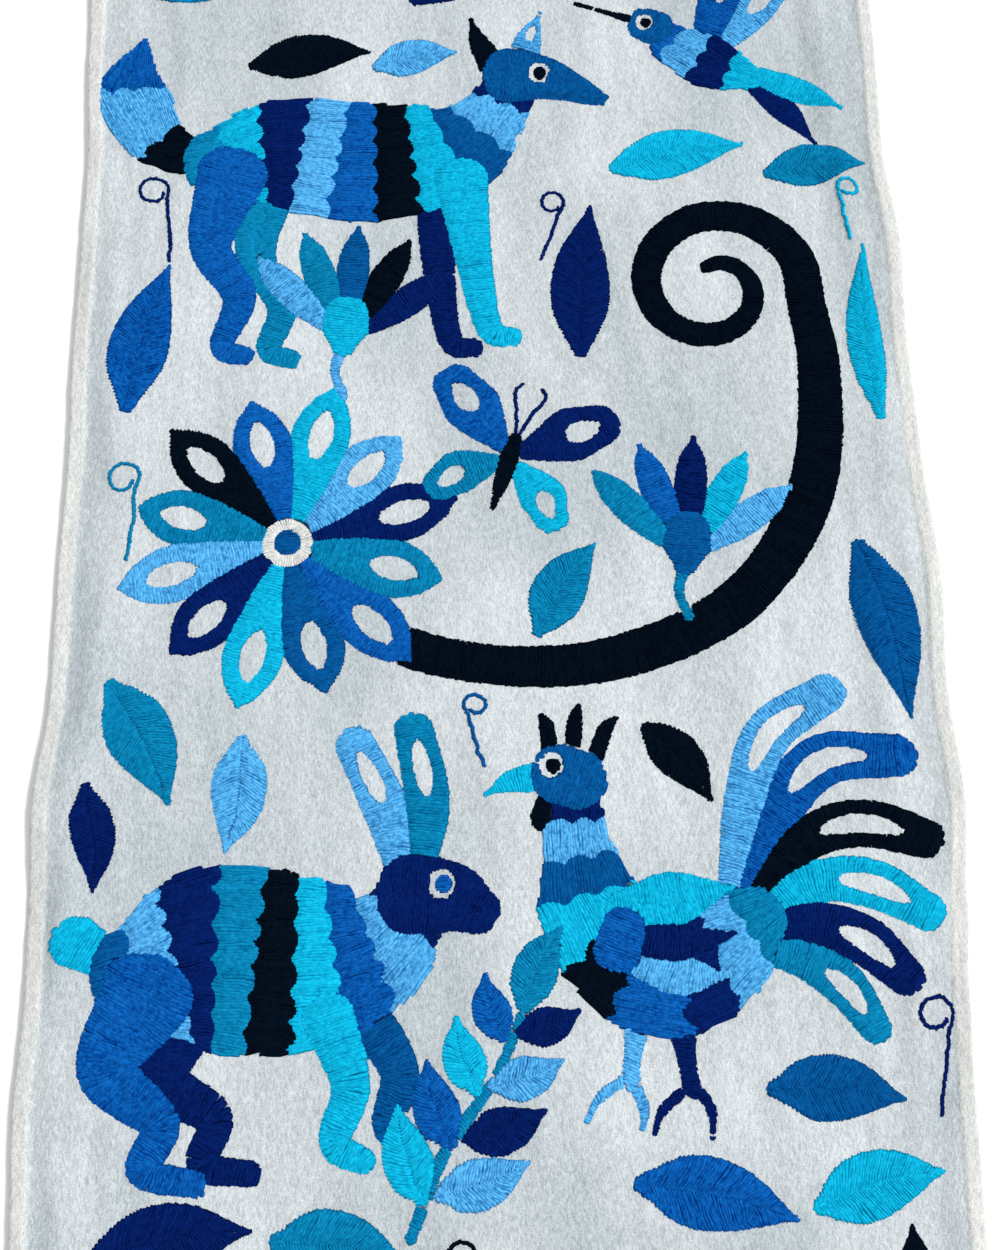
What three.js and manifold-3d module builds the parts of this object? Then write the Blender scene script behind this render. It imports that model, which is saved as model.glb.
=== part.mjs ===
// Embroidered cotton table runner, lying flat. Millimetres: X across, Y along, Z up.
// One cloth with its turned hem, the raised satin stitching on its upper face, and the
// soft ridges where the cloth lifts off the table. The origin is the middle of its underside.
import * as THREE from "three";
import Module from "manifold-3d";

// Driving sizes
const WIDTH = 400;
const LENGTH = 1200;
const CLOTH = 1.2; // the cloth with its stitch backs
const HEM = 8; // width of the turned hem
const HEM_THICK = 2.1; // where the cloth is turned under twice
const STEP = 1; // slope between hem and cloth
const STITCH_RISE = 0.7; // lowest stitching above the cloth
const LAYER = 0.12; // each part of a figure lies this much over the one before
const LAYERS = 4;
const STITCH_ROOT = 0.6; // how deep the stitching is rooted in the flat cloth
const TIP = 0.35; // half width of a pointed end
const ROUND_FROM = 3; // wider ends are rounded
const LINE_STEP = 26; // longest straight piece of a wide outline
const WIDE = 11; // half width from which an outline is refined

// How far each long edge wanders off its straight line
const EDGES = readTable(`
along  left  right
-600    0     0
-500    1.5   1
-400   -1    -1.5
-300    1    -4.6
-240   -1.7  -3.5
-200   -0.3  -1.7
-160   -1     1.3
-115   -3     5
 -65    1.2   2.2
 -15    1.1   4.4
  50    2.2   0.8
 105    0.7  -0.6
 155    1.2   1
 210    1.2  -3.4
 270   -2    -2.5
 320   -3.6  -2.9
 400   -5.1   1.5
 500   -1.5  -1
 600    0     0`);

// Soft ridges, turned from the length of the runner
const RIDGES = readTable(`
across  along  turn  long  half  high
 174     250    4    240    10   2.2
 184      70   -3    240     9   1.9
 172     -60    2    200     9   1.6
 178    -220   -5    220    10   2.1
 176     440    3    200    10   1.7
 180    -470    2    220    10   1.8
 172     206   84     44     8   1.6
-186     140    2    220     9   1.5
-183    -110   -3    240     9   1.7
-185     430    3    240     9   1.6
-182    -420   -2    240     9   1.8`);

// Figures: each line is one part, its middle line given as across,along,half width
const FIGURES = {
  fox: readFigure(`
    brush          -76,8,7 -104,22,15 -118,52,18 -112,86,0
    far_hind_leg   -46,-6,16 -50,-46,10 -36,-76,7.5 -42,-100,6 -30,-106,5
    far_fore_leg   44,-6,12 44,-50,8.5 50,-96,6 62,-101,5
    ear            74,66,8 66,82,5 62,96,0
    ear            90,68,7 93,82,7 100,100,0
    body           -74,8,20 -40,14,32 8,8,35 50,14,29 72,34,18 80,48,15
    near_hind_leg  -64,2,19 -74,-40,11 -58,-70,8.5 -66,-98,6 -54,-104,5
    near_fore_leg  56,-2,14 62,-48,9.5 70,-90,6.5 82,-95,5
    head           82,60,17 102,58,13 124,48,6.5 131,45,4`),
  rabbit: readFigure(`
    ear            54,44,5 48,72,9.5 34,102,8.5
    ear            64,46,5 66,76,9.5 60,108,8.5
    far_hind_leg   -34,-10,15 -44,-38,11 -22,-54,7.5 -26,-72,6 -6,-76,5
    far_fore_leg   38,-12,10 54,-36,8 50,-58,6.5 62,-64,5
    tail           -72,12,9 -83,18,11
    body           -58,2,22 -28,10,38 14,8,36 44,14,26 56,26,17
    near_hind_leg  -52,-4,20 -66,-34,12.5 -44,-56,8 -50,-74,6.5 -28,-80,5
    near_fore_leg  24,-14,11 34,-42,8 28,-64,6.5 40,-72,5
    head           58,36,17 76,34,15 88,28,10`),
  rooster: readFigure(`
    toe            -4,-64,2.6 8,-74,2.2 12,-84,0
    toe            -8,-64,2.6 -14,-74,2.4 -14,-86,0
    leg            -2,-32,7 -4,-52,4.2 -6,-66,3.6
    toe            24,-60,2.6 36,-68,2.2 42,-78,0
    toe            20,-62,2.6 16,-74,2.4 18,-84,0
    leg            16,-30,7 20,-48,4.2 22,-62,3.6
    sickle         -30,16,4 -50,56,10 -74,84,12 -108,86,10
    sickle         -34,12,4 -62,44,9 -88,54,11 -118,46,9
    sickle         -36,8,4 -66,26,9 -92,26,11 -118,12,8.5
    sickle         -36,2,4 -64,8,9 -88,0,11 -108,-18,8
    sickle         -34,-4,4 -58,-8,8 -78,-20,10 -92,-40,7
    sickle         -26,20,4 -36,62,9 -50,97,11 -80,118,9
    body           -42,12,13 -24,2,29 6,-6,36 34,12,27 42,40,17 44,62,13
    comb           34,84,4 28,100,3.6 22,107,1
    comb           44,88,4 42,106,3.6 40,113,1
    comb           54,88,4 56,103,3.6 59,109,1
    wattle         58,68,3 60,58,4.5 60,54,2
    beak           62,78,7 74,76,5 86,70,0
    head           40,76,14 52,80,14
    wing           22,12,7 -2,16,9 -26,22,0
    wing           18,-8,6 -4,-15,9 -26,-15,0
    wing           22,2,6 -4,0,8 -30,4,0
    shoulder       22,8,10 26,-4,11`),
  squirrel: readFigure(`
    tail           26,-44,8 56,-34,15 68,2,20 56,42,21 70,76,18 96,74,10
    fore_leg       -20,2,9 -40,-8,6 -52,0,5
    ear            -8,64,5.5 -2,82,0
    ear            -20,66,5 -17,84,0
    body           20,-40,22 6,-16,32 -8,14,26 -12,34,17
    thigh          14,-40,19 -8,-58,11 -34,-64,6.5 -44,-62,5
    fore_leg       -18,12,8.5 -40,6,6 -54,14,5
    head           -12,50,16 -30,50,13 -45,44,6
    nut            -64,14,8 -64,23,8`),
  hummingbird: readFigure(`
    tail           -22,-6,5 -40,-20,6.5 -56,-36,0
    tail           -24,-2,5 -46,-8,6.5 -68,-16,0
    wing           0,8,5 -18,34,10 -34,56,6.5
    wing           4,8,5 -2,38,9.5 -10,64,6.5
    body           -22,-4,6 -2,2,14 16,10,11 24,16,8
    bill           36,22,2.6 68,28,0
    head           27,19,9.5 33,21,9`),
  butterfly: readFigure(`
    wing           3,4,3 26,22,15 42,34,12
    wing           3,-2,3 22,-14,12 32,-26,9
    wing           -3,4,3 -26,22,15 -42,34,12
    wing           -3,-2,3 -22,-14,12 -32,-26,9
    body           0,14,3.4 0,-4,5 0,-30,1.5`),
  turtle: readFigure(`
    leg            30,-12,8 46,-26,7 52,-38,5
    leg            8,-20,8 14,-34,7 12,-44,5
    leg            -34,-16,8 -46,-32,7 -42,-42,5
    tail           -58,-4,5 -82,-10,0
    head           58,4,9 76,12,10 86,12,8
    shell          -56,-4,13 -30,8,28 6,12,32 38,6,26 56,-4,11`),
  flower: flower(),
  bud: bud(),
  twig: twig(),
  vine: vine(),
};

// Where each figure lies
const LAYOUT = readTable(`
figure       across  along  turn  size  flip
vine            0       0     0    1     0
flower        -94       6     0    1     0
fox           -66     198     0    0.94  0
rooster        74    -176     0    0.92  1
rabbit        -96    -190     0    1     0
hummingbird   112     258    -8    1.05  1
butterfly       8      46   -18    0.86  0
bud            88      -6    84    0.76  0
bud           -70     106    84    0.78  0
twig          -34    -286    62    1     0
squirrel      -80     394     0    0.94  1
rooster        92     398     0    0.85  0
flower        -90     520     0    0.74  0
turtle         84     546     0    0.85  0
turtle       -104    -350     0    0.95  1
fox            76    -426     0    0.84  1
rabbit        -92    -502     0    0.92  1
butterfly      92    -562     8    0.95  0`);

// Single leaves, from their stalk
const LEAVES = readTable(`
across  along  turn  long  half
  43     100    84    80    14
  62     200    10    66    13
 138     196     4    52    11
-173      74    76    78    14
-118     262     6    60    12
 -56     260    10    42    10
  20     -38    56    50    12
 165       2   -79    84    13
-172     -60   -62    62    14
-112     -86   -98    50    12
-166    -298     8    66    14
 -92    -292   -10    54    13
  56    -272   -14    66    14
 128    -282    12    58    13
 112    -236    -6    58    13
  14    -314   -20    54    12
 176    -334    98    46    11
-170     306    12    62    13
-102     314    -8    52    12
 -36     300    28    60    12
  14     330    -6    52    12
 170     312    84    62    13
 -18     474    96    56    12
  14     516    98    44    10
 -46     580    -8    48    11
-160     582    -8    46    10
 168     466    80    60    12
   4    -526   -86    42    11
 168    -512   -84    58    12
 -22    -414   -64    48    11
-170    -566    66    44    10
 -34    -584     6    48     9
  98    -318    10    54    12
 182      64    90    92     8
  66     -82   -52    44    10
-177    -106   -86    46     9`);

// Tables: a header line names the columns
function readTable(text) {
  const [header, ...lines] = text.trim().split("\n").map((line) => line.trim().split(/\s+/));
  return lines.map((cells) =>
    Object.fromEntries(cells.map((cell, i) => [header[i], isNaN(cell) ? cell : Number(cell)])));
}

function readFigure(text) {
  return text.trim().split("\n").map((line) => {
    const [part, ...points] = line.trim().split(/\s+/);
    return { part, line: points.map((point) => point.split(",").map(Number)) };
  });
}

function placed(line, across, along, turn = 0, size = 1, flip = 0) {
  const angle = THREE.MathUtils.degToRad(turn);
  return line.map(([x, y, half]) => {
    const px = (flip ? -x : x) * size;
    const py = y * size;
    return [
      across + Math.cos(angle) * px - Math.sin(angle) * py,
      along + Math.sin(angle) * px + Math.cos(angle) * py,
      half * size,
    ];
  });
}

// Plant forms
function leafLine(long, half, bend = 4) {
  return [[0, 0, half * 0.2], [long * 0.3, bend * 0.5, half * 0.95],
    [long * 0.62, bend * 0.8, half * 0.85], [long, bend * 0.3, 0]];
}

function flower(petals = 12, long = 80, short = 73, half = 13.5) {
  const parts = [];
  for (let k = 0; k < petals; k += 1) {
    const reach = k % 2 ? short : long;
    const line = [[reach * 0.1, 0, half * 0.22], [reach * 0.42, 0, half * 0.75],
      [reach * 0.7, 0, half], [reach * 0.88, 0, half * 0.65], [reach, 0, 0]];
    parts.push({ part: "petal", line: placed(line, 0, 0, 15 + (360 / petals) * k) });
  }
  parts.push({ part: "heart", line: [[-6, 0, 11], [6, 0, 11]] });
  return parts;
}

function bud(petals = 5, spread = 24) {
  const parts = [];
  for (let k = 0; k < petals; k += 1) {
    const line = [[16, 0, 4], [42, 0, 9.5], [66, 0, 8], [82, 0, 0]];
    parts.push({ part: "petal", line: placed(line, 0, 0, spread * (k - (petals - 1) / 2)) });
  }
  parts.push({ part: "stalk", line: [[-34, -4, 3], [-18, 3, 3], [0, 0, 4]] });
  parts.push({ part: "cup", line: [[-2, 0, 7], [10, 0, 14], [22, 0, 13]] });
  return parts;
}

function twig(pairs = 4, apart = 24) {
  const parts = [{ part: "stalk", line: [[-6, 0, 2.4], [30, 3, 2.6], [64, -2, 2.4], [96, 0, 2]] }];
  for (let k = 0; k < pairs; k += 1) {
    const along = 8 + apart * k;
    const long = 40 - 4 * k;
    const half = 10 - 0.7 * k;
    parts.push({ part: "leaflet", line: placed(leafLine(long, half, 3), along, 2, 42) });
    parts.push({ part: "leaflet", line: placed(leafLine(long, half, -3), along + 5, -2, -42) });
  }
  parts.push({ part: "leaflet", line: placed(leafLine(38, 9.5), 94, 0, 0) });
  return parts;
}

function vine(steps = 14, turns = 480, outer = 46, inner = 11) {
  const line = [[-88, 0, 7], [-52, -38, 9], [0, -53, 9], [56, -50, 10], [112, -24, 10.5],
    [147, 28, 10.5], [156, 88, 10]];
  for (let k = 0; k < steps; k += 1) {
    const t = k / (steps - 1);
    const angle = THREE.MathUtils.degToRad(-14 + turns * t);
    const radius = outer - (outer - inner) * t;
    line.push([108 + radius * Math.cos(angle), 134 + radius * Math.sin(angle), 9.2 - 5.7 * t]);
  }
  return [{ part: "vine", line }];
}

// The cloth's own shape
function edgeOffset(y, side) {
  const next = EDGES.findIndex((row, i) => i > 0 && row.along >= y);
  const a = EDGES[next - 1];
  const b = EDGES[next];
  const t = THREE.MathUtils.smoothstep(y, a.along, b.along);
  return a[side] + (b[side] - a[side]) * t;
}

function wander(x, y) {
  const reach = THREE.MathUtils.smoothstep(Math.abs(x), 120, WIDTH / 2);
  return reach * edgeOffset(y, x < 0 ? "left" : "right");
}

function lift(x, y) {
  let high = 0;
  for (const ridge of RIDGES) {
    const angle = THREE.MathUtils.degToRad(ridge.turn);
    const dx = x - ridge.across;
    const dy = y - ridge.along;
    const across = Math.cos(angle) * dx + Math.sin(angle) * dy;
    const along = -Math.sin(angle) * dx + Math.cos(angle) * dy;
    const s = 1 - THREE.MathUtils.smoothstep(Math.abs(across), 0, ridge.half * 1.6);
    const t = 1 - THREE.MathUtils.smoothstep(Math.abs(along), ridge.long * 0.2, ridge.long * 0.5);
    high = Math.max(high, ridge.high * s * t);
  }
  return high;
}

function stations(half, inner, gap) {
  const list = [];
  const ends = [half, half - HEM, half - HEM - STEP, ...inner];
  const last = ends[ends.length - 1];
  const count = Math.round((2 * last) / gap);
  for (const x of ends) list.push(-x);
  for (let k = 1; k < count; k += 1) list.push(-last + (2 * last * k) / count);
  for (const x of ends.reverse()) list.push(x);
  return list;
}

function isHem(x, y) {
  return Math.abs(x) > WIDTH / 2 - HEM - 0.5 || Math.abs(y) > LENGTH / 2 - HEM - 0.5;
}

function clothGeometry() {
  const xs = stations(WIDTH / 2, [183, 175, 166, 150], 150);
  const ys = stations(LENGTH / 2, [], 48);
  const points = [];
  for (const level of [0, 1]) {
    for (const y of ys) {
      for (const x of xs) {
        const thick = level * (isHem(x, y) ? HEM_THICK : CLOTH);
        points.push([x + wander(x, y), y, lift(x, y) + thick]);
      }
    }
  }
  const nx = xs.length;
  const ny = ys.length;
  const at = (i, j, level) => level * nx * ny + j * nx + i;
  const faces = [];
  const quad = (a, b, c, d) => faces.push([a, b, c], [a, c, d]);
  for (let j = 0; j < ny - 1; j += 1) {
    for (let i = 0; i < nx - 1; i += 1) {
      quad(at(i, j, 1), at(i + 1, j, 1), at(i + 1, j + 1, 1), at(i, j + 1, 1));
      quad(at(i, j, 0), at(i, j + 1, 0), at(i + 1, j + 1, 0), at(i + 1, j, 0));
    }
    quad(at(0, j, 0), at(0, j, 1), at(0, j + 1, 1), at(0, j + 1, 0));
    quad(at(nx - 1, j, 0), at(nx - 1, j + 1, 0), at(nx - 1, j + 1, 1), at(nx - 1, j, 1));
  }
  for (let i = 0; i < nx - 1; i += 1) {
    quad(at(i, 0, 0), at(i + 1, 0, 0), at(i + 1, 0, 1), at(i, 0, 1));
    quad(at(i, ny - 1, 0), at(i, ny - 1, 1), at(i + 1, ny - 1, 1), at(i + 1, ny - 1, 0));
  }
  return { points, faces };
}

// A stitched part is a flat-topped pad that follows its middle line
function refined(line) {
  const wide = Math.max(...line.map((row) => row[2])) > WIDE;
  if (!wide || line.length < 3) return line;
  const curve = new THREE.CatmullRomCurve3(line.map((row) => new THREE.Vector3(...row)));
  const rows = [line[0]];
  for (let i = 1; i < line.length; i += 1) {
    const span = Math.hypot(line[i][0] - line[i - 1][0], line[i][1] - line[i - 1][1]);
    const parts = span > LINE_STEP ? 2 : 1;
    for (let k = 1; k <= parts; k += 1) {
      const t = (i - 1 + k / parts) / (line.length - 1);
      rows.push(k === parts ? line[i] : curve.getPoint(t).toArray());
    }
  }
  return rows;
}

function rounded(line) {
  const rows = [...line];
  const extend = (end, before) => {
    const run = Math.hypot(end[0] - before[0], end[1] - before[1]);
    const reach = (end[2] * 0.75) / run;
    return [end[0] + (end[0] - before[0]) * reach, end[1] + (end[1] - before[1]) * reach, end[2] * 0.55];
  };
  if (line[0][2] > ROUND_FROM) rows.unshift(extend(line[0], line[1]));
  if (line.at(-1)[2] > ROUND_FROM) rows.push(extend(line.at(-1), line.at(-2)));
  return rows;
}

function padGeometry(line, rise) {
  const rows = rounded(refined(line));
  const points = [];
  rows.forEach(([x, y, half], i) => {
    const before = rows[Math.max(i - 1, 0)];
    const after = rows[Math.min(i + 1, rows.length - 1)];
    const run = Math.hypot(after[0] - before[0], after[1] - before[1]);
    const nx = -(after[1] - before[1]) / run;
    const ny = (after[0] - before[0]) / run;
    for (const side of [1, -1]) {
      const px = x + side * nx * Math.max(half, TIP);
      const py = y + side * ny * Math.max(half, TIP);
      points.push([px, py, lift(px, py) + CLOTH + rise], [px, py, CLOTH - STITCH_ROOT]);
    }
  });
  const at = (i, right, low) => 4 * i + 2 * right + low;
  const faces = [];
  const quad = (a, b, c, d) => faces.push([a, b, c], [a, c, d]);
  const last = rows.length - 1;
  for (let i = 0; i < last; i += 1) {
    quad(at(i, 1, 0), at(i + 1, 1, 0), at(i + 1, 0, 0), at(i, 0, 0));
    quad(at(i, 1, 1), at(i, 0, 1), at(i + 1, 0, 1), at(i + 1, 1, 1));
    quad(at(i, 1, 1), at(i + 1, 1, 1), at(i + 1, 1, 0), at(i, 1, 0));
    quad(at(i + 1, 0, 1), at(i, 0, 1), at(i, 0, 0), at(i + 1, 0, 0));
  }
  quad(at(0, 0, 1), at(0, 1, 1), at(0, 1, 0), at(0, 0, 0));
  quad(at(last, 1, 1), at(last, 0, 1), at(last, 0, 0), at(last, 1, 0));
  return { points, faces };
}

// Joining cloth and stitching into one solid
const wasm = await Module();
wasm.setup();

function solid({ points, faces }) {
  const mesh = new wasm.Mesh({
    numProp: 3,
    vertProperties: new Float32Array(points.flat()),
    triVerts: new Uint32Array(faces.flat()),
  });
  return new wasm.Manifold(mesh);
}

function stitchedPads() {
  const pads = [];
  for (const { figure, across, along, turn, size, flip } of LAYOUT) {
    FIGURES[figure].forEach(({ line }, i) => {
      const rise = STITCH_RISE + LAYER * (i % LAYERS);
      pads.push(solid(padGeometry(placed(line, across, along, turn, size, flip), rise)));
    });
  }
  for (const { across, along, turn, long, half } of LEAVES) {
    pads.push(solid(padGeometry(placed(leafLine(long, half), across, along, turn), STITCH_RISE)));
  }
  return pads;
}

function runnerGeometry() {
  const whole = wasm.Manifold.union([solid(clothGeometry()), ...stitchedPads()]);
  const mesh = whole.getMesh();
  const geometry = new THREE.BufferGeometry();
  geometry.setAttribute("position", new THREE.BufferAttribute(mesh.vertProperties, 3));
  geometry.setIndex(new THREE.BufferAttribute(mesh.triVerts, 1));
  return geometry;
}

const cotton = new THREE.MeshStandardMaterial({ color: "#ccd2d3", roughness: 0.95, metalness: 0 });
const runner = new THREE.Mesh(runnerGeometry(), cotton);
runner.name = "runner";

const part = new THREE.Group();
part.add(runner);
export default part;
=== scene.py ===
# %% [markdown]
# # An embroidered table runner
# The real thing is one length of plain-weave cotton with a hem turned under all round. Its face
# is filled with satin stitch in seven colours of cotton floss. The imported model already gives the
# cloth's size, ridges and raised stitching. This lesson dresses it: a fine cloth surface, every
# stitch as its own small bump of thread, and node materials for cotton and floss.

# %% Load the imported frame
import math
import bpy
import numpy as np
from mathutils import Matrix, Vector


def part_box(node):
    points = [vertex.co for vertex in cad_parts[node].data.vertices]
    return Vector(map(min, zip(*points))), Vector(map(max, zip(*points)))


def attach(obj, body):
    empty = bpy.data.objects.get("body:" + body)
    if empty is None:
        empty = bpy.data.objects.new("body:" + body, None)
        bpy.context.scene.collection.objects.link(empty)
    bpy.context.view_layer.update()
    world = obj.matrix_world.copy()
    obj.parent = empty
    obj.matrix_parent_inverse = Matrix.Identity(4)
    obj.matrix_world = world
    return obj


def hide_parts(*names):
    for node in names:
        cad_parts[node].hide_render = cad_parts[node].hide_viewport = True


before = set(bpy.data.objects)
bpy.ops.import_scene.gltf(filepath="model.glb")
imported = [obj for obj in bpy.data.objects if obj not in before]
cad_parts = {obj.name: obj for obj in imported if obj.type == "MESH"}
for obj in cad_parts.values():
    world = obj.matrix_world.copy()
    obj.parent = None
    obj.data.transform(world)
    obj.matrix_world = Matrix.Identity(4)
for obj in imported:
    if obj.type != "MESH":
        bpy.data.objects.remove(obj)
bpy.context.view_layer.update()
MM = 0.001
low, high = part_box("runner")
print("packed runner, mm:", [round(v / MM, 1) for v in (*low, *high)])


# %% Objects
def add_object(name, data):
    made = bpy.data.objects.new(name, data)
    bpy.context.scene.collection.objects.link(made)
    return made


def aim(thing, back):
    """Turns a camera or a sun so that it looks against the direction back."""
    thing.rotation_mode = "QUATERNION"
    thing.rotation_quaternion = (-back).to_track_quat("-Z", "Y")


# %% [markdown]
# ## The camera
# The photo was taken from above and a little in front, so the runner widens towards the viewer.
# A camera could be placed by eye. Here it orbits a point on the cloth by an azimuth, an elevation
# and a distance, because those three numbers are easy to reason about and to correct.

# %% Camera
LENS, SENSOR, NEAREST = 43.2, 36, 0.01
CAMERA_AZIMUTH = math.radians(-0.82)
CAMERA_ELEVATION = math.radians(73.7)
CAMERA_DISTANCE = 0.6781
CAMERA_TARGET = Vector((2.72 * MM, -34 * MM, 0))

back = Vector((
    math.sin(CAMERA_AZIMUTH) * math.cos(CAMERA_ELEVATION),
    -math.cos(CAMERA_AZIMUTH) * math.cos(CAMERA_ELEVATION),
    math.sin(CAMERA_ELEVATION),
))
camera = add_object("camera", bpy.data.cameras.new("camera"))
camera.data.lens = LENS
camera.data.sensor_width = SENSOR
camera.data.clip_start = NEAREST
camera.location = CAMERA_TARGET + back * CAMERA_DISTANCE
aim(camera, back)
bpy.context.scene.camera = camera
print("camera stands at", [round(v, 3) for v in camera.location])

# %% [markdown]
# ## The drawing
# An embroiderer draws the figures on the cloth and fills each outline with one direction of
# stitch. Every part here is a middle line with a half width at each point (across, along, half),
# so one short row gives a leg, a feather or a whole striped body. The second word is the way it
# is filled, and the letters are its threads: K black, N navy, R royal, M mid blue, T teal,
# Q turquoise, L light blue, W white. All sizes are in millimetres.

# %% Tables of figures
FIGURE_ROWS = """
fox
brush         bands  KLR -76,8,7 -104,22,15 -118,52,18 -112,86,0
far_hind_leg  satin  T -46,-6,16 -50,-46,10 -36,-76,7.5 -42,-100,6 -30,-106,5
far_fore_leg  satin  N 44,-6,12 44,-50,8.5 50,-96,6 62,-101,5
ear           satin  K 74,66,8 66,82,5 62,96,0
ear           eyelet L 90,68,7 93,82,7 100,100,0
body          bands  TQNLRKQMLN -74,8,20 -40,14,32 8,8,35 50,14,29 72,34,18 80,48,15
near_hind_leg satin  R -64,2,19 -74,-40,11 -58,-70,8.5 -66,-98,6 -54,-104,5
near_fore_leg satin  Q 56,-2,14 62,-48,9.5 70,-90,6.5 82,-95,5
head          satin  M 82,60,17 102,58,13 124,48,6.5 131,45,4
eye           eye    K 98,62,4.6
rabbit
ear           eyelet L 54,44,5 48,72,9.5 34,102,8.5
ear           eyelet T 64,46,5 66,76,9.5 60,108,8.5
far_hind_leg  satin  N -34,-10,15 -44,-38,11 -22,-54,7.5 -26,-72,6 -6,-76,5
far_fore_leg  satin  M 38,-12,10 54,-36,8 50,-58,6.5 62,-64,5
tail          satin  Q -72,12,9 -83,18,11
body          bands  MLNTKQRLN -58,2,22 -28,10,38 14,8,36 44,14,26 56,26,17
near_hind_leg satin  R -52,-4,20 -66,-34,12.5 -44,-56,8 -50,-74,6.5 -28,-80,5
near_fore_leg satin  Q 24,-14,11 34,-42,8 28,-64,6.5 40,-72,5
head          satin  N 58,36,17 76,34,15 88,28,10
eye           eye    R 72,40,4.6
rooster
toe           satin  N -4,-64,2.6 8,-74,2.2 12,-84,0
toe           satin  N -8,-64,2.6 -14,-74,2.4 -14,-86,0
leg           satin  N -2,-32,7 -4,-52,4.2 -6,-66,3.6
toe           satin  L 24,-60,2.6 36,-68,2.2 42,-78,0
toe           satin  L 20,-62,2.6 16,-74,2.4 18,-84,0
leg           satin  L 16,-30,7 20,-48,4.2 22,-62,3.6
sickle        eyelet R -30,16,4 -50,56,10 -74,84,12 -108,86,10
sickle        eyelet K -34,12,4 -62,44,9 -88,54,11 -118,46,9
sickle        eyelet Q -36,8,4 -66,26,9 -92,26,11 -118,12,8.5
sickle        eyelet N -36,2,4 -64,8,9 -88,0,11 -108,-18,8
sickle        eyelet T -34,-4,4 -58,-8,8 -78,-20,10 -92,-40,7
sickle        eyelet L -26,20,4 -36,62,9 -50,97,11 -80,118,9
body          bands  TLNRKQMLN -42,12,13 -24,2,29 6,-6,36 34,12,27 42,40,17 44,62,13
comb          satin  K 34,84,4 28,100,3.6 22,107,1
comb          satin  K 44,88,4 42,106,3.6 40,113,1
comb          satin  K 54,88,4 56,103,3.6 59,109,1
wattle        satin  K 58,68,3 60,58,4.5 60,54,2
beak          satin  Q 62,78,7 74,76,5 86,70,0
head          satin  M 40,76,14 52,80,14
wing          satin  Q 24,14,9 -2,20,12.5 -30,25,0
wing          satin  L 18,-8,6 -4,-15,9 -26,-15,0
wing          satin  N 22,2,6 -4,0,8 -30,4,0
shoulder      satin  R 22,8,10 26,-4,11
eye           eye    K 54,84,4.6
squirrel
tail          bands  NTLKRQM 26,-44,8 56,-34,15 68,2,20 56,42,21 70,76,18 96,74,10
fore_leg      satin  T -20,2,9 -40,-8,6 -52,0,5
ear           satin  N -8,64,5.5 -2,82,0
ear           satin  L -20,66,5 -17,84,0
body          bands  NQLRKTM 20,-40,22 6,-16,32 -8,14,26 -12,34,17
thigh         satin  R 14,-40,19 -8,-58,11 -34,-64,6.5 -44,-62,5
fore_leg      satin  Q -18,12,8.5 -40,6,6 -54,14,5
head          satin  M -12,50,16 -30,50,13 -45,44,6
nut           satin  K -64,14,8 -64,23,8
eye           eye    N -24,55,4.4
hummingbird
tail          satin  N -22,-6,5 -40,-20,6.5 -56,-36,0
tail          satin  Q -24,-2,5 -46,-8,6.5 -68,-16,0
wing          eyelet L 0,8,5 -18,34,10 -34,56,6.5
wing          eyelet R 4,8,5 -2,38,9.5 -10,64,6.5
body          bands  QNLR -22,-4,6 -2,2,14 16,10,11 24,16,8
bill          satin  K 36,22,2.6 68,28,0
head          satin  M 27,19,9.5 33,21,9
eye           eye    K 33,22,3.4
butterfly
wing          eyelet N 3,4,3 26,22,15 42,34,12
wing          eyelet Q 3,-2,3 22,-14,12 32,-26,9
wing          eyelet R -3,4,3 -26,22,15 -42,34,12
wing          eyelet T -3,-2,3 -22,-14,12 -32,-26,9
body          satin  K 0,14,3.4 0,-4,5 0,-30,1.5
feeler        line   N 1,15,1 4,28,1 9,40,1 5,45,1
feeler        line   N -1,15,1 -4,28,1 -9,40,1 -5,45,1
turtle
leg           satin  R 30,-12,8 46,-26,7 52,-38,5
leg           satin  T 8,-20,8 14,-34,7 12,-44,5
leg           satin  N -34,-16,8 -46,-32,7 -42,-42,5
tail          satin  Q -58,-4,5 -82,-10,0
head          satin  M 58,4,9 76,12,10 86,12,8
shell         bands  RLNQKTLRN -56,-4,13 -30,8,28 6,12,32 38,6,26 56,-4,11
eye           eye    K 79,14,3.4"""
LAYOUT = """
figure      across along turn size flip shift
vine             0     0    0    1    0     0
flower         -94     6    0    1    0     0
fox            -66   198    0 0.94    0     0
rooster         74  -176    0 0.92    1     0
rabbit         -96  -190    0    1    0     0
hummingbird    112   258   -8 1.05    1     0
butterfly        8    46  -18 0.86    0     0
bud             88    -6   84 0.76    0     0
bud            -70   106   84 0.78    0     2
twig           -34  -286   62    1    0     0
squirrel       -80   394    0 0.94    1     2
rooster         92   398    0 0.85    0     3
flower         -90   520    0 0.74    0     3
turtle          84   546    0 0.85    0     1
turtle        -104  -350    0 0.95    1     4
fox             76  -426    0 0.84    1     3
rabbit         -92  -502    0 0.92    1     2
butterfly       92  -562    8 0.95    0     3"""
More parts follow.
